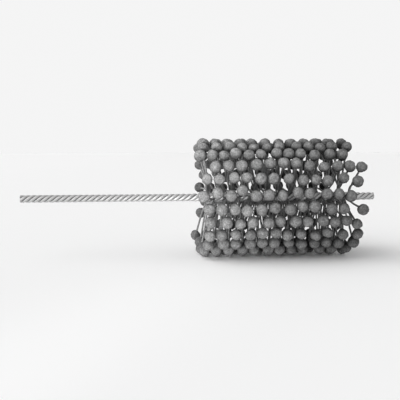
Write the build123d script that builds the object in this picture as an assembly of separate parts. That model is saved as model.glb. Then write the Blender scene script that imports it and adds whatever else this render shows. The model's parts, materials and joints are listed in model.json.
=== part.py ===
from build123d import *

import math
import os
import random

# A flexible ball hone: four wires twisted to the left into a stem, nylon filaments pinched in a slot between
# the wires, and a ball of bonded abrasive grain on each end of every filament.
# X runs along the stem, from the drive end at the origin to the tip. Z is up.
# An angle round the stem is measured from +Y towards +Z, so the side at -Y is at 180 degrees.

# Driving dimensions of the stem, in millimetres
overall_length = 343.0
tip_length = 27.0  # stem beyond the last filament
wire_diameter = 2.8
wire_gap = 0.04  # air between wires that lie against each other
stem_lay = 21.8  # length in which a wire goes once round the bare stem
head_lay = 23.4  # and within the head, where the filaments slacken the twist
slot_run_in = 20.0  # length in which the wires part into two pairs before the first filament
slot_run_out = 20.0  # length in which they close again after the last one

# Driving dimensions of the head
free_diameter = 115.0  # over the balls, with nothing pressing on them
bore_diameter = 104.8  # the smallest bore that the balls are pressed into
row_count = 24  # rows of balls round the head, an even number
filament_count = 144
first_direction = 127.5  # degrees, of the first filament's first side
head_flare = 1.06  # how much further apart the balls are than the filaments' roots
swept_back = 4.7  # how far the balls stand back from their filaments' roots, towards the drive end
row_stagger = 3.1  # rows stand forwards and back by turns, so that neighbours stand between each other
row_shifts = {6: 0.0, 10: -6.0, 11: -9.3, 14: 0.0, 16: -1.0, 18: 0.0}  # rows that stand otherwise, by their number from 0
ball_diameter = 10.8
ball_gap = 0.3  # least air between two balls, also where a row leans back past its neighbours

# Driving dimensions of a filament and of the ball on it
filament_diameter = 1.5
waist_diameter = 0.93  # where the wires pinch it and the next filaments cross it
waist_clearance = 0.12
knee_clearance = 0.7  # from the wires' envelope out to the end of the waist
pocket_clearance = 0.06  # round the filament in its ball
pocket_end = 0.6  # from the ball's middle in to the bottom of its pocket
neck_diameter = 3.6  # of the grain that has crept along the filament
neck_lengths = (0.3, 1.5)  # shortest and longest, beyond the ball

# How much the balls differ, as each is dipped by hand and sits on a filament that bends
ball_size_spread = 0.05  # share of the diameter, either way
along_spread = 2.6
around_spread = 3.0
outward_spread = 0.5
chance = random.Random(548)

# Balls on filaments that are bent more than the rest, by the filament's number along the stem and its side:
# how far the ball is shifted along the stem and round it
bent_filaments = {
    (0, 0): (5.5, 1.0),
    (0, 1): (7.0, 0.0),
    (2, 0): (3.5, 0.0),
    (2, 1): (4.0, 0.0),
    (4, 0): (3.5, 0.0),
    (4, 1): (3.0, 0.0),
    (6, 0): (4.5, 0.0),
    (8, 0): (4.5, 0.0),
    (139, 0): (-7.0, 3.0),
    (140, 0): (5.5, 2.0),
    (142, 0): (2.0, 3.0),
    (143, 0): (-6.0, 2.0),
}

# Worked out from the sizes above
wire_radius = wire_diameter / 2
turn_rate = 2 * math.pi / stem_lay
head_turn_rate = 2 * math.pi / head_lay
filament_pitch = head_lay / row_count
first_root = overall_length - tip_length - (filament_count - 1) * filament_pitch
last_root = overall_length - tip_length
head_middle = (first_root + last_root) / 2
row_step = 2 * math.pi / row_count
ball_ring = (free_diameter - ball_diameter) / 2
squeeze = (free_diameter - bore_diameter) / 2


def solve(rising, target, low, high):
    """The value between low and high at which a rising function reaches the target."""
    for _ in range(50):
        middle = (low + high) / 2
        if rising(middle) < target:
            low = middle
        else:
            high = middle
    return (low + high) / 2


def least(distance, span):
    """The least value of a distance over a length of stem."""
    samples = 80
    return min(distance(span * n / samples) for n in range(samples + 1))


def wire_distance(ring, apart):
    """Between the centre lines of two wires on one ring, with an angle between them."""

    def distance(x):
        return math.hypot(x, 2 * ring * math.sin((apart - turn_rate * x) / 2))

    return least(distance, apart / turn_rate)


def ring_radius(apart):
    """The ring on which two wires with an angle between them lie against each other."""
    return solve(
        lambda ring: wire_distance(ring, apart),
        wire_diameter + wire_gap,
        wire_radius,
        6 * wire_radius,
    )


def pair_ring(angle):
    """The ring of wires that stand at an angle either side of the slot's direction."""
    return ring_radius(math.pi - 2 * angle)


def slot_room(angle):
    """From a filament's line to the centre line of the nearest wire."""
    ring = pair_ring(angle)
    return least(
        lambda x: math.hypot(x, ring * math.sin(angle - turn_rate * x)),
        angle / turn_rate,
    )


even_angle = math.pi / 4
slot_angle = solve(
    slot_room,
    wire_radius + waist_diameter / 2 + waist_clearance,
    even_angle,
    0.4 * math.pi,
)
knee_radius = pair_ring(slot_angle) + wire_radius + knee_clearance
limb_height = ball_ring - knee_radius
limb_length = math.hypot(limb_height, swept_back)
lean_back = math.sqrt(limb_length**2 - (limb_height - squeeze) ** 2) - swept_back  # in the smallest bore


def ramp(share):
    """Rises smoothly from 0 to 1."""
    share = min(max(share, 0.0), 1.0)
    return share * share * (3 - 2 * share)


def slot_direction(x):
    """The angle round the stem in which the slot, and a filament in it, points."""
    in_head = min(max(x, first_root), last_root)
    turned = head_turn_rate * (in_head - first_root) + turn_rate * (x - in_head)
    return math.radians(first_direction) - turned


def wire_place(number, x):
    """A point of a wire's centre line."""
    margin = filament_pitch
    opening = ramp((x - first_root + slot_run_in + margin) / slot_run_in)
    opening *= ramp((last_root + slot_run_out + margin - x) / slot_run_out)
    angle = even_angle + (slot_angle - even_angle) * opening
    ring = pair_ring(angle)
    corner = (angle, math.pi - angle, math.pi + angle, -angle)[number]
    turned = slot_direction(x) + corner
    return Vector(x, ring * math.cos(turned), ring * math.sin(turned))


def stem_wire(number):
    """One wire of the stem, cut square to the stem at both ends."""
    points_per_turn = 16
    spare = wire_diameter
    length = overall_length + 2 * spare
    steps = round(length / stem_lay * points_per_turn)
    line = Edge.make_spline([wire_place(number, length * n / steps - spare) for n in range(steps + 1)])
    section = Wire.make_circle(wire_radius, Plane(origin=line @ 0, z_dir=line % 0))
    wire = Solid.sweep(section, line)
    width = 4 * knee_radius
    kept = Pos(overall_length / 2, 0, 0) * Box(overall_length, width, width)
    return wire & kept


class Ball:
    """The ball on one end of a filament, with its filament's root."""

    def __init__(self, number, side):
        self.root = first_root + number * filament_pitch
        self.direction = slot_direction(self.root) + math.pi * side
        self.row = round((self.direction - row_step / 2) / row_step) % row_count
        self.radius = ball_diameter / 2 * (1 + chance.uniform(-ball_size_spread, ball_size_spread))
        self.neck = chance.uniform(*neck_lengths)
        self.ring = ball_ring + chance.uniform(-outward_spread, 0.0)
        shift = chance.uniform(-along_spread, along_spread)
        self.around = chance.uniform(-around_spread, around_spread)
        if (number, side) in bent_filaments:
            shift, self.around = bent_filaments[number, side]
        shift += row_shifts.get(self.row, row_stagger if self.row % 2 else -row_stagger)
        self.along = head_middle - swept_back + (self.root - head_middle) * head_flare + shift
        self.lean = (
            -lean_back,
            -squeeze * math.cos(self.direction),
            -squeeze * math.sin(self.direction),
        )

    def middle(self):
        angle = self.direction + self.around / ball_ring
        return (self.along, self.ring * math.cos(angle), self.ring * math.sin(angle))

    def knee(self):
        """Where the filament leaves the wires."""
        return (self.root, knee_radius * math.cos(self.direction), knee_radius * math.sin(self.direction))

    def shift(self, along, around):
        self.along += along
        self.around += around


def dot(one, other):
    return sum(a * b for a, b in zip(one, other))


def nearest(step, way):
    """What is left of a step between two balls when one comes as near as it can on its way."""
    share = min(max(dot(step, way) / dot(way, way), 0.0), 1.0)
    return [a - share * b for a, b in zip(step, way)]


def push_apart(one, other):
    """Moves two balls apart if they come too near at rest, both leant back, or with one leaning past the other."""
    places = list(zip(one.middle(), other.middle()))
    step = [b - a for a, b in places]
    if one.row != other.row:
        steps = (
            nearest(step, one.lean),
            nearest(step, [-way for way in other.lean]),
            [rest + b - a for rest, a, b in zip(step, one.lean, other.lean)],
        )
        step = min(steps, key=lambda step: dot(step, step))
    length = math.sqrt(dot(step, step))
    short = one.radius + other.radius + ball_gap - length
    if short <= 0:
        return False
    angle = math.atan2(sum(places[2]), sum(places[1]))
    around = step[2] * math.cos(angle) - step[1] * math.sin(angle)
    push = (short / 2 + 0.01) / length
    one.shift(-push * step[0], -push * around)
    other.shift(push * step[0], push * around)
    return True


def settled(balls):
    """The balls, moved along and round the head until none is too near its neighbours."""
    reach = lean_back + ball_diameter
    beside = (0, 1, row_count - 1)
    pairs = [
        (one, other)
        for n, one in enumerate(balls)
        for other in balls[n + 1 :]
        if (one.row - other.row) % row_count in beside and abs(one.along - other.along) < reach
    ]
    for _ in range(400):
        if not any([push_apart(*pair) for pair in pairs]):
            break
    return balls


def limb_frame(ball, origin):
    """At a point of a filament's limb, with Z along it, out towards the ball."""
    return Plane(origin=origin, z_dir=Vector(ball.middle()) - Vector(ball.knee())).location


def abrasive_ball(ball):
    """A ball that runs into a short neck round its filament, with a blind pocket for the filament."""
    neck_radius = neck_diameter / 2
    pocket_radius = filament_diameter / 2 + pocket_clearance
    mouth = -(ball.radius + ball.neck)
    far = math.hypot(mouth, neck_radius)
    turn = math.atan2(neck_radius, -mouth) + math.acos(ball.radius / far)
    leaves = (ball.radius * math.sin(turn), -ball.radius * math.cos(turn))
    outline = ThreePointArc((0, ball.radius), (ball.radius, 0), leaves)
    outline += Polyline(
        leaves,
        (neck_radius, mouth),
        (pocket_radius, mouth),
        (pocket_radius, -pocket_end),
        (0, -pocket_end),
        (0, ball.radius),
    )
    solid = revolve(make_face(outline), Axis.Y)
    upright = Rot(90, 0, 0) * solid
    return limb_frame(ball, ball.middle()) * upright


def filament_limb(ball):
    """One side of a filament, round at its knee, and square where it ends in its ball."""
    length = math.dist(ball.knee(), ball.middle()) - pocket_end - pocket_clearance
    rod = Solid.make_cylinder(filament_diameter / 2, length)
    return limb_frame(ball, ball.knee()) * (rod + Sphere(filament_diameter / 2))


def filament(ends):
    """A filament from ball to ball, with a thin waist through the slot."""
    start, finish = (Vector(ball.knee()) for ball in ends)
    across = finish - start
    waist = Solid.make_cylinder(waist_diameter / 2, across.length, Plane(origin=start, z_dir=across))
    return waist + filament_limb(ends[0]) + filament_limb(ends[1])


def save(name, solids):
    """Writes one node, with each of its pieces as a solid of its own."""
    pieces = [piece for solid in solids for piece in solid.solids()]
    export_step(Compound(children=pieces), f"parts/{name}.step")


def main():
    os.makedirs("parts", exist_ok=True)
    for number in range(4):
        save(f"stem_wire_{number + 1}", [stem_wire(number)])

    balls = settled([Ball(number, side) for number in range(filament_count) for side in (0, 1)])
    ends = list(zip(balls[::2], balls[1::2]))
    planes = row_count // 2
    for plane in range(planes):
        save(f"filaments_{plane + 1:02}", [filament(pair) for pair in ends[plane::planes]])
    for row in range(row_count):
        in_row = [ball for ball in balls if ball.row == row]
        save(f"balls_row_{row + 1:02}", [abrasive_ball(ball) for ball in in_row])


main()
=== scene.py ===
import json
import math
import random

import bmesh
import bpy
import numpy as np
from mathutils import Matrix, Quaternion, Vector, noise


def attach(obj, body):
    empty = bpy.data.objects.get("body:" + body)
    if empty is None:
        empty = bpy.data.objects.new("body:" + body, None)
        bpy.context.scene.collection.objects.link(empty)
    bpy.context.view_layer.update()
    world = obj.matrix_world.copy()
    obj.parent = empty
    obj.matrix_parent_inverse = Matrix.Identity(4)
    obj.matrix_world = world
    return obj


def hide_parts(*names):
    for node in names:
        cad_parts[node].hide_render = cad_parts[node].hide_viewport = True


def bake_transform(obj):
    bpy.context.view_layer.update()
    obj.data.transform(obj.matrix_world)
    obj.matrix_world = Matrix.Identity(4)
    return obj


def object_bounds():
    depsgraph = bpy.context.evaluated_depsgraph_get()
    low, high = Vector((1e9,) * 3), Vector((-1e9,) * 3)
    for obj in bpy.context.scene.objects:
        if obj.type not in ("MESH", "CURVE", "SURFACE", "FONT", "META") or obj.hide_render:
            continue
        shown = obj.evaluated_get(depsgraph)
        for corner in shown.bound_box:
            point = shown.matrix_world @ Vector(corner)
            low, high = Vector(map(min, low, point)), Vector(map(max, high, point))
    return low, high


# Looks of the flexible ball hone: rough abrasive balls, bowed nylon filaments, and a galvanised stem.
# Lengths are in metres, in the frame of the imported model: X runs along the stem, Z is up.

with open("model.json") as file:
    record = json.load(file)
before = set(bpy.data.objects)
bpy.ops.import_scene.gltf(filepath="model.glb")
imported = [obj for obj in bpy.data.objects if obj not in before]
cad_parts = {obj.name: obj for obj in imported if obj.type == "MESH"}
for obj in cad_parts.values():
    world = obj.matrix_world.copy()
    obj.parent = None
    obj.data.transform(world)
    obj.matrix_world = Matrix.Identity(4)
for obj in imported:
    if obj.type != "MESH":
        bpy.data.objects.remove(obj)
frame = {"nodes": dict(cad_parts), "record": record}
cad_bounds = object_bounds()

MM = 0.001
HEAD_START = 0.165  # where the balls begin along the stem
HEAD_END = 0.325
GROOVE_SHADE_FULL_RADIUS = 2.2 * MM  # from the stem's axis to where the painted shade in the grooves of its wires is darkest
GROOVE_SHADE_END_RADIUS = 3.5 * MM  # and to where that painted shade ends

# Filaments
FILAMENT_RADIUS = 0.75 * MM
COATED_RADIUS = 1.0 * MM  # near the ball, where a skin of the abrasive has run down the filament
WAIST_RADIUS = 0.465 * MM
WAIST_SHARE = 0.8  # how much of the way from the stem's axis to the knee the waist takes up
KNEE_RADIUS = 5.0 * MM  # from the stem's axis to where a filament leaves the wires
FILAMENT_DEPTH = 0.9 * MM  # from a ball's middle inwards to its filament's end
SIDE_BOW = 2.8 * MM
LENGTH_BOW = 2.4 * MM
BOW_STEPS = (0.0, 0.03, 0.15, 0.3, 0.45, 0.6, 0.75, 0.9, 1.0)
TUBE_SIDES = 10

# Balls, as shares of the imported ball's radius where no unit is given
ICO_STEPS = 4
BALL_SIZE = 0.995
BALL_LIMIT = 1.015
MOST_FLATNESS = 0.14
BULGES = 0.14
BULGE_PITCH = 1.1
LUMPS = 0.085
LUMP_PITCH = 2.8
LUMP_SHIFT = 0.3  # in seeds, so that lumps and bulges don't follow each other
GRAINS = 0.02
GRAIN_PITCH = 8.0
GRAIN_SHIFT = 0.5
NECK_SKIN = 0.35 * MM
NECK_ANGLE = 0.34
SEED_STEP = 31  # more than the balls in a row, so that no two balls of the head share a seed
NOISE_STEPS = (7.3, 3.1, 5.7)  # from one seed's place in the noise to the next one's

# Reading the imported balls
WELD = 1e-7  # vertices nearer than this are one
OUTER_HALF = 0.5 * MM  # how far outside the mean of its vertices a ball is surely round
MOUTH_DEPTH = 0.02 * MM

# Attributes of the balls' vertices
OUTER = "outer"  # from 0 on a ball's side towards the stem to 1 on its side away from it
TONE = "tone"  # how pale the whole ball is
PALEST = 1.0
DARKEST = 0.80

# Numbers of the Mix node's colour sockets, which share their names with other sockets
MIX_ONE = 6
MIX_OTHER = 7
MIX_RESULT = 2

# Greys of the materials, each as (position, grey) from one end of its ramp to the other
CLOUD_GREYS = [(0.32, 0.28), (0.68, 0.50)]
MOTTLE_GREYS = [(0.35, 0.52), (0.65, 1.0)]
GRAIN_GREYS = [(0.32, 0.62), (0.68, 1.0)]
GRAIN_STRENGTH = 0.8
# painted light along the head: full at the drive end, darker towards the tip, as if lit from the drive-end
# side
DRIVE_END_LIGHT_GREYS = [(0.0, 1.0), (1.0, 0.53)]
# painted shade on the balls' sides towards the stem, milder at the drive end than at the tip end
DRIVE_END_INNER_SHADE = [(0.38, 0.52), (0.88, 1.0)]
TIP_END_INNER_SHADE = [(0.38, 0.22), (0.88, 1.0)]
NYLON_GREYS = [(0.3, 0.16), (0.7, 0.25)]
ZINC_GREYS = [(0.3, 0.44), (0.7, 0.63)]
# painted shade in the grooves between the stem's wires, darkest near the axis
GROOVE_SHADE_GREYS = [(0.0, 0.38), (0.8, 1.0)]
# the floor's grey, with painted shade that darkens it towards the tip end
FLOOR_GREYS = [(0.0, 0.97), (1.0, 0.94)]

# Scales of the materials' textures, in cells for each metre
CLOUD_SCALE = 260.0
MOTTLE_SCALE = 760.0
GRAIN_SCALE = 2600.0
PIT_SCALE = 1900.0
STREAK_SCALE = 420.0
SPANGLE_SCALE = 900.0

# Stage and light
FLOOR_REACH = 40.0
# where the floor's painted shade, darker towards the tip end, begins and where it is full
FLOOR_SHADE_START = -0.6
FLOOR_SHADE_END = 1.1
HORIZON_LIGHT = 0.91
OVERHEAD_LIGHT = 0.48
GLOW_TOP = 0.24  # the sine of the height up to which the room is as bright as at the horizon
OVERHEAD_START = 0.45  # the sine of the height from which it is as dim as overhead
HEAD_MIDDLE = (0.25, 0.0, 0.0)
WINDOW_PLACE = (-1.10, -0.50, 0.80)
WINDOW_POWER = 2.6
WINDOW_ANGLE = math.radians(90)
FILL_PLACE = (-0.02, -0.45, -0.03)
FILL_AIM = (0.18, -0.04, 0.02)
FILL_POWER = 8.5
FILL_ANGLE = math.radians(34)
FILL_SIZE = 0.05

# The photograph's view: where it looks, from which side, and how strongly it is drawn together
VIEW_AIM = Vector((0.1705, 0.0, -0.0025))
VIEW_DISTANCE = 0.600
VIEW_YAW = math.radians(5.0)
VIEW_ELEVATION = math.radians(4.5)
VIEW_ROLL = math.radians(0.15)
PHOTO_WIDTH = 400
FOCAL_PIXELS = 619.0
SENSOR_WIDTH = 36.0
NEAREST = 0.01
FARTHEST = 100.0

ROW_NODES = sorted(name for name in frame["nodes"] if name.startswith("balls_row_"))
WIRE_NODES = sorted(name for name in frame["nodes"] if name.startswith("stem_wire_"))
BENT_NODES = {
    joint["child"]: joint["deforming_nodes"][0]["node"]
    for joint in frame["record"]["behaviour"]["joints"]
}


# Materials

def new_material(name):
    material = bpy.data.materials.new(name)
    material.use_nodes = True
    return material, material.node_tree.nodes, material.node_tree.links


def node(nodes, kind, **values):
    made = nodes.new(kind)
    for key, value in values.items():
        setattr(made, key, value)
    return made


def object_place(nodes):
    return node(nodes, "ShaderNodeTexCoord").outputs["Object"]


def coordinate(nodes, links, place, axis):
    split = node(nodes, "ShaderNodeSeparateXYZ")
    links.new(place, split.inputs["Vector"])
    return split.outputs[axis]


def map_range(nodes, links, value, start, end, low=0.0, high=1.0):
    """From low at a value of start or less to high at a value of end or more."""
    made = node(nodes, "ShaderNodeMapRange")
    made.inputs["From Min"].default_value = start
    made.inputs["From Max"].default_value = end
    made.inputs["To Min"].default_value = low
    made.inputs["To Max"].default_value = high
    links.new(value, made.inputs["Value"])
    return made.outputs["Result"]


def noise_texture(nodes, links, place, scale, detail=3.0, roughness=0.5):
    made = node(nodes, "ShaderNodeTexNoise")
    made.inputs["Scale"].default_value = scale
    made.inputs["Detail"].default_value = detail
    made.inputs["Roughness"].default_value = roughness
    links.new(place, made.inputs["Vector"])
    return made.outputs["Fac"]


def cell_distance(nodes, links, place, scale):
    made = node(nodes, "ShaderNodeTexVoronoi")
    made.inputs["Scale"].default_value = scale
    links.new(place, made.inputs["Vector"])
    return made.outputs["Distance"]


def ramp(nodes, links, value, stops):
    made = node(nodes, "ShaderNodeValToRGB")
    elements = made.color_ramp.elements
    while len(elements) < len(stops):
        elements.new(0.5)
    for element, (position, grey) in zip(elements, stops):
        element.position = position
        element.color = (grey, grey, grey, 1.0)
    links.new(value, made.inputs["Fac"])
    return made.outputs["Color"]


def multiply(nodes, links, one, other, factor=1.0):
    made = node(nodes, "ShaderNodeMix", data_type="RGBA", blend_type="MULTIPLY")
    made.inputs["Factor"].default_value = factor
    links.new(one, made.inputs[MIX_ONE])
    links.new(other, made.inputs[MIX_OTHER])
    return made.outputs[MIX_RESULT]


def mix(nodes, links, factor, one, other):
    made = node(nodes, "ShaderNodeMix", data_type="RGBA")
    links.new(factor, made.inputs["Factor"])
    links.new(one, made.inputs[MIX_ONE])
    links.new(other, made.inputs[MIX_OTHER])
    return made.outputs[MIX_RESULT]


def bump(nodes, links, height, strength, distance, below=None):
    made = node(nodes, "ShaderNodeBump")
    made.inputs["Strength"].default_value = strength
    made.inputs["Distance"].default_value = distance
    links.new(height, made.inputs["Height"])
    if below is not None:
        links.new(below, made.inputs["Normal"])
    return made.outputs["Normal"]


def along_head(nodes, links, place):
    """From 0 at the drive end of the head, where the painted light is brightest, to 1 at its tip end."""
    return map_range(nodes, links, coordinate(nodes, links, place, "X"), HEAD_START, HEAD_END)


# painted light: paler at the drive end and darker towards the tip, as if lit from the drive-end side
def painted_drive_end_light(nodes, links, place):
    return ramp(nodes, links, along_head(nodes, links, place), DRIVE_END_LIGHT_GREYS)


def painted_inner_shade(nodes, links, place):
    """Painted shade: dark on a ball's side towards the stem and pale on its outer side, with less of a
    difference towards the drive end, as if more light reached in there.
    """
    outer = node(nodes, "ShaderNodeAttribute", attribute_name=OUTER).outputs["Fac"]
    drive_end_shade = ramp(nodes, links, outer, DRIVE_END_INNER_SHADE)
    tip_end_shade = ramp(nodes, links, outer, TIP_END_INNER_SHADE)
    return mix(nodes, links, along_head(nodes, links, place), drive_end_shade, tip_end_shade)


def abrasive_material():
    """Bonded silicon carbide grain: dull and mottled, with painted shade on the side towards the stem and
    painted light that fades from the drive end to the tip.
    """
    material, nodes, links = new_material("abrasive")
    shader = nodes["Principled BSDF"]
    place = object_place(nodes)
    clouds = noise_texture(nodes, links, place, CLOUD_SCALE, 4.0, 0.6)
    mottle = noise_texture(nodes, links, place, MOTTLE_SCALE, 3.0, 0.6)
    grains = noise_texture(nodes, links, place, GRAIN_SCALE, 2.0, 0.7)
    cells = cell_distance(nodes, links, place, PIT_SCALE)
    cloud_grey = ramp(nodes, links, clouds, CLOUD_GREYS)
    mottle_grey = ramp(nodes, links, mottle, MOTTLE_GREYS)
    grain_grey = ramp(nodes, links, grains, GRAIN_GREYS)
    tone = node(nodes, "ShaderNodeAttribute", attribute_name=TONE).outputs["Color"]
    colour = multiply(nodes, links, cloud_grey, mottle_grey)
    colour = multiply(nodes, links, colour, grain_grey, GRAIN_STRENGTH)
    # painted shade on the side of each ball towards the stem
    colour = multiply(nodes, links, colour, painted_inner_shade(nodes, links, place))
    colour = multiply(nodes, links, colour, tone)
    # painted light, fading from the drive end to the tip
    colour = multiply(nodes, links, colour, painted_drive_end_light(nodes, links, place))
    links.new(colour, shader.inputs["Base Color"])
    shader.inputs["Roughness"].default_value = 0.92
    shader.inputs["Specular IOR Level"].default_value = 0.25
    coarse = bump(nodes, links, clouds, 0.6, 0.9 * MM)
    pits = bump(nodes, links, cells, 0.45, 0.25 * MM, coarse)
    fine = bump(nodes, links, grains, 0.6, 0.18 * MM, pits)
    links.new(fine, shader.inputs["Normal"])
    return material


def nylon_material():
    material, nodes, links = new_material("nylon")
    shader = nodes["Principled BSDF"]
    place = object_place(nodes)
    streaks = noise_texture(nodes, links, place, STREAK_SCALE)
    grey = ramp(nodes, links, streaks, NYLON_GREYS)
    # the same painted light along the head, on the filaments too
    links.new(multiply(nodes, links, grey, painted_drive_end_light(nodes, links, place)), shader.inputs["Base Color"])
    shader.inputs["Roughness"].default_value = 0.42
    links.new(bump(nodes, links, streaks, 0.15, 0.1 * MM), shader.inputs["Normal"])
    return material


def distance_from_axis(nodes, links, place):
    across = node(nodes, "ShaderNodeCombineXYZ")
    for axis in ("Y", "Z"):
        links.new(coordinate(nodes, links, place, axis), across.inputs[axis])
    length = node(nodes, "ShaderNodeVectorMath", operation="LENGTH")
    links.new(across.outputs["Vector"], length.inputs[0])
    return length.outputs["Value"]


def wire_material():
    """Galvanised steel wire, with dull grey zinc and painted shade down in the grooves."""
    material, nodes, links = new_material("galvanised_wire")
    shader = nodes["Principled BSDF"]
    place = object_place(nodes)
    # painted shade: the wires get darker towards the stem's axis, down in the grooves
    height = map_range(nodes, links, distance_from_axis(nodes, links, place), GROOVE_SHADE_FULL_RADIUS, GROOVE_SHADE_END_RADIUS)
    groove_shade = ramp(nodes, links, height, GROOVE_SHADE_GREYS)
    spangle = noise_texture(nodes, links, place, SPANGLE_SCALE, 4.0, 0.65)
    zinc = ramp(nodes, links, spangle, ZINC_GREYS)
    links.new(multiply(nodes, links, zinc, groove_shade), shader.inputs["Base Color"])
    shader.inputs["Metallic"].default_value = 0.5
    links.new(map_range(nodes, links, spangle, 0.0, 1.0, 0.42, 0.58), shader.inputs["Roughness"])
    links.new(bump(nodes, links, spangle, 0.25, 0.12 * MM), shader.inputs["Normal"])
    return material


# Meshes

def new_piece(name, vertices, faces, material):
    mesh = bpy.data.meshes.new(name)
    mesh.from_pydata([tuple(v) for v in vertices], [], [tuple(f) for f in faces])
    mesh.update()
    mesh.polygons.foreach_set("use_smooth", [True] * len(mesh.polygons))
    piece = bpy.data.objects.new(name, mesh)
    bpy.context.scene.collection.objects.link(piece)
    piece.data.materials.append(material)
    return piece


def unit_ball():
    """Directions and triangles of an even ball."""
    made = bmesh.new()
    bmesh.ops.create_icosphere(made, subdivisions=ICO_STEPS, radius=1.0)
    points = np.array([v.co[:] for v in made.verts])
    faces = np.array([[v.index for v in f.verts] for f in made.faces])
    made.free()
    return points, faces


def loose_parts(mesh):
    """The places of the vertices of each separate part of a mesh, with vertices at one place joined."""
    places = np.empty(len(mesh.vertices) * 3)
    mesh.vertices.foreach_get("co", places)
    places = places.reshape(-1, 3)
    _, same = np.unique(np.round(places / WELD).astype(np.int64), axis=0, return_inverse=True)
    same = same.ravel()
    label = np.arange(same.max() + 1)
    edges = np.empty(len(mesh.edges) * 2, np.int64)
    mesh.edges.foreach_get("vertices", edges)
    ends = same[edges.reshape(-1, 2)]
    while True:
        lowest = np.minimum(label[ends[:, 0]], label[ends[:, 1]])
        new = label.copy()
        np.minimum.at(new, ends[:, 0], lowest)
        np.minimum.at(new, ends[:, 1], lowest)
        new = new[new]
        if (new == label).all():
            break
        label = new
    part = label[same]
    return [places[part == number] for number in np.unique(part)]


class CadBall:
    """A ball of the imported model: its middle and radius, and where its filament comes from."""

    def __init__(self, places):
        guess = places.mean(0)
        outwards = np.array([0.0, *guess[1:]])
        outwards /= np.linalg.norm(outwards)
        outer = places[(places - guess) @ outwards > OUTER_HALF]
        system = np.c_[2 * outer, np.ones(len(outer))]
        fit = np.linalg.lstsq(system, (outer ** 2).sum(1), rcond=None)[0]
        self.middle = fit[:3]
        self.radius = math.sqrt(fit[3] + self.middle @ self.middle)
        reach = np.linalg.norm(places - self.middle, axis=1)
        inner = (places - self.middle) @ outwards < 0
        self.neck = max(reach[inner].max() - self.radius, 0.0)
        mouth = places[inner & (reach > reach[inner].max() - MOUTH_DEPTH)].mean(0)
        self.inwards = (mouth - self.middle) / np.linalg.norm(mouth - self.middle)

    def knee(self):
        """Where the filament leaves the wires and turns towards the ball."""
        steps = (np.linalg.norm(self.middle[1:]) - KNEE_RADIUS) / np.linalg.norm(self.inwards[1:])
        return self.middle + steps * self.inwards


BALL_POINTS, BALL_FACES = unit_ball()


def rough(seed, pitch):
    """Smooth random numbers between about -1 and 1 for the ball's directions."""
    shift = Vector([seed * step for step in NOISE_STEPS])
    return np.array([noise.noise(Vector(point) * pitch + shift) for point in BALL_POINTS])


def outer_shares(ball):
    outwards = np.array([0.0, *ball.middle[1:]])
    return 0.5 + 0.5 * (BALL_POINTS @ outwards) / np.linalg.norm(outwards)


def lumpy_ball(ball, seed):
    """A ball as it dries after dipping: out of round, grainy, drawn out along its filament."""
    chance = random.Random(seed)
    flat_way = np.array([chance.gauss(0.0, 1.0) for _ in range(3)])
    flat_way /= np.linalg.norm(flat_way)
    flatness = chance.uniform(0.0, MOST_FLATNESS)
    angle = np.arccos(np.clip(BALL_POINTS @ ball.inwards, -1, 1))
    neck = (ball.neck + NECK_SKIN) * np.exp(-((angle / NECK_ANGLE) ** 2))
    share = BALL_SIZE - flatness * (BALL_POINTS @ flat_way) ** 2
    share += BULGES * rough(seed, BULGE_PITCH)
    share += LUMPS * rough(seed + LUMP_SHIFT, LUMP_PITCH)
    share = np.minimum(share, BALL_LIMIT) + GRAINS * rough(seed + GRAIN_SHIFT, GRAIN_PITCH)
    reach = ball.radius * share + neck
    return ball.middle + BALL_POINTS * reach[:, None]


def balls_of(node_name):
    return [CadBall(places) for places in loose_parts(frame["nodes"][node_name].data)]


def row_of_balls(number, balls, material):
    vertices = []
    faces = []
    for place, ball in enumerate(balls):
        faces.append(BALL_FACES + len(BALL_POINTS) * place)
        vertices.append(lumpy_ball(ball, number * SEED_STEP + place))
    piece = new_piece(f"row_{number:02}_balls", np.vstack(vertices), np.vstack(faces), material)
    shares = np.concatenate([outer_shares(ball) for ball in balls])
    piece.data.attributes.new(OUTER, "FLOAT", "POINT").data.foreach_set("value", shares)
    chance = random.Random(number)
    tones = np.repeat([chance.uniform(DARKEST, PALEST) for _ in balls], len(BALL_POINTS))
    piece.data.attributes.new(TONE, "FLOAT", "POINT").data.foreach_set("value", tones)
    return piece


def tube(points, radii):
    """Vertices and faces of a closed tube along points."""
    sides = TUBE_SIDES
    points = np.array(points)
    ahead = np.gradient(points, axis=0)
    ahead /= np.linalg.norm(ahead, axis=1)[:, None]
    side = np.cross(ahead, [1.0, 0.0, 0.0])
    side /= np.linalg.norm(side, axis=1)[:, None]
    other = np.cross(ahead, side)
    turns = np.arange(sides) * 2 * math.pi / sides
    ring = np.cos(turns)[None, :, None] * side[:, None] + np.sin(turns)[None, :, None] * other[:, None]
    rings = points[:, None] + ring * np.array(radii)[:, None, None]
    vertices = list(rings.reshape(-1, 3))
    faces = []
    for step in range(len(points) - 1):
        low = step * sides
        high = low + sides
        for turn in range(sides):
            after = (turn + 1) % sides
            faces.append((low + turn, low + after, high + after, high + turn))
    faces.append(tuple(reversed(range(sides))))
    last = (len(points) - 1) * sides
    faces.append(tuple(last + turn for turn in range(sides)))
    return vertices, faces


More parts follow.
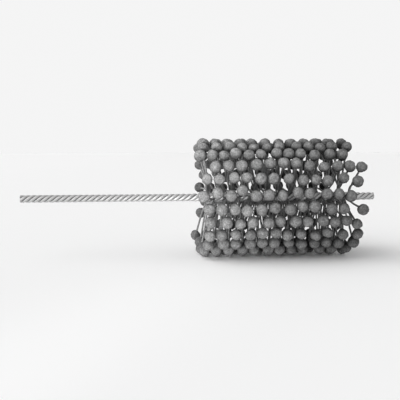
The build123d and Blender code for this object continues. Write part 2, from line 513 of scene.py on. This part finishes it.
def filament_path(ball, seed):
    """From the stem's axis out through the slot, and from there to the inside of the ball, a little bowed."""
    knee = ball.knee()
    root = np.array([knee[0], 0.0, 0.0])
    end = ball.middle + ball.inwards * FILAMENT_DEPTH
    along = end - knee
    sideways = np.cross(along, [1.0, 0.0, 0.0])
    sideways /= np.linalg.norm(sideways)
    chance = random.Random(seed)
    bow = sideways * chance.uniform(-SIDE_BOW, SIDE_BOW)
    bow = bow + np.array([chance.uniform(-LENGTH_BOW, LENGTH_BOW), 0, 0])
    points = [root, root + WAIST_SHARE * (knee - root)]
    radii = [WAIST_RADIUS, WAIST_RADIUS]
    for share in BOW_STEPS:
        points.append(knee + along * share + bow * math.sin(math.pi * share) ** 2)
        radii.append(FILAMENT_RADIUS + (COATED_RADIUS - FILAMENT_RADIUS) * share)
    return points, radii


def row_of_filaments(number, balls, material):
    vertices = []
    faces = []
    for place, ball in enumerate(balls):
        points, radii = filament_path(ball, number * SEED_STEP + place)
        some, around = tube(points, radii)
        faces += [tuple(v + len(vertices) for v in face) for face in around]
        vertices += some
    return new_piece(f"row_{number:02}_filaments", vertices, faces, material)


def build_head():
    abrasive = abrasive_material()
    nylon = nylon_material()
    for number, node_name in enumerate(ROW_NODES, 1):
        body = f"row_{number:02}"
        balls = balls_of(node_name)
        piece = row_of_balls(number, balls, abrasive)
        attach(piece, body)
        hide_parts(node_name)

        bunch = row_of_filaments(number, balls, nylon)
        outwards = Vector((0.0, *np.mean([ball.middle[1:] for ball in balls], axis=0)))
        outwards.normalize()
        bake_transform(bunch)
        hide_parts(BENT_NODES[body])


def dress_stem():
    steel = wire_material()
    for name in WIRE_NODES:
        materials = frame["nodes"][name].data.materials
        materials.clear()
        materials.append(steel)


# Stage, light and camera

def build_stage():
    """A wide pale floor, with painted shade that greys it a little towards the tip end, which meets the
    bright room at the horizon.
    """
    material, nodes, links = new_material("studio_floor")
    shader = nodes["Principled BSDF"]
    along = coordinate(nodes, links, object_place(nodes), "X")
    shade = map_range(nodes, links, along, FLOOR_SHADE_START, FLOOR_SHADE_END)
    links.new(ramp(nodes, links, shade, FLOOR_GREYS), shader.inputs["Base Color"])
    shader.inputs["Roughness"].default_value = 0.9
    shader.inputs["Specular IOR Level"].default_value = 0.1
    floor_height = cad_bounds[0][2]
    corners = [(-1, -1), (1, -1), (1, 1), (-1, 1)]
    vertices = [(x * FLOOR_REACH, y * FLOOR_REACH, floor_height) for x, y in corners]
    new_piece("studio_floor", vertices, [(0, 1, 2, 3)], material)


def build_room():
    """A soft room that is brightest round the horizon, where it meets the floor."""
    world = bpy.data.worlds.new("soft_room")
    world.use_nodes = True
    nodes = world.node_tree.nodes
    links = world.node_tree.links
    direction = node(nodes, "ShaderNodeTexCoord").outputs["Generated"]
    height = coordinate(nodes, links, direction, "Z")
    level = map_range(nodes, links, height, GLOW_TOP, OVERHEAD_START, HORIZON_LIGHT, OVERHEAD_LIGHT)
    sky = nodes["Background"]
    sky.inputs["Color"].default_value = (1.0, 1.0, 1.0, 1.0)
    links.new(level, sky.inputs["Strength"])
    bpy.context.scene.world = world


def lamp(name, kind, place, aim, power):
    light = bpy.data.lights.new(name, kind)
    light.energy = power
    made = bpy.data.objects.new(name, light)
    made.location = place
    made.rotation_euler = (Vector(aim) - Vector(place)).to_track_quat("-Z", "Y").to_euler()
    bpy.context.scene.collection.objects.link(made)
    return light


def build_lamps():
    window = lamp("window", "SUN", WINDOW_PLACE, HEAD_MIDDLE, WINDOW_POWER)
    window.angle = WINDOW_ANGLE
    fill = lamp("left_fill", "SPOT", FILL_PLACE, FILL_AIM, FILL_POWER)
    fill.spot_size = FILL_ANGLE
    fill.spot_blend = 1.0
    fill.shadow_soft_size = FILL_SIZE


def build_camera():
    camera = bpy.data.cameras.new("camera")
    camera.sensor_width = SENSOR_WIDTH
    camera.lens = SENSOR_WIDTH * FOCAL_PIXELS / PHOTO_WIDTH
    camera.clip_start = NEAREST
    camera.clip_end = FARTHEST
    away = Vector((
        -math.sin(VIEW_YAW) * math.cos(VIEW_ELEVATION),
        -math.cos(VIEW_YAW) * math.cos(VIEW_ELEVATION),
        math.sin(VIEW_ELEVATION),
    ))
    eye = bpy.data.objects.new("camera", camera)
    eye.location = VIEW_AIM + away * VIEW_DISTANCE
    upright = (-away).to_track_quat("-Z", "Y")
    eye.rotation_euler = (upright @ Quaternion((0.0, 0.0, 1.0), -VIEW_ROLL)).to_euler()
    bpy.context.scene.collection.objects.link(eye)
    bpy.context.scene.camera = eye


bpy.context.scene.view_settings.view_transform = "Standard"
build_camera()
build_head()
dress_stem()
build_stage()
build_room()
build_lamps()
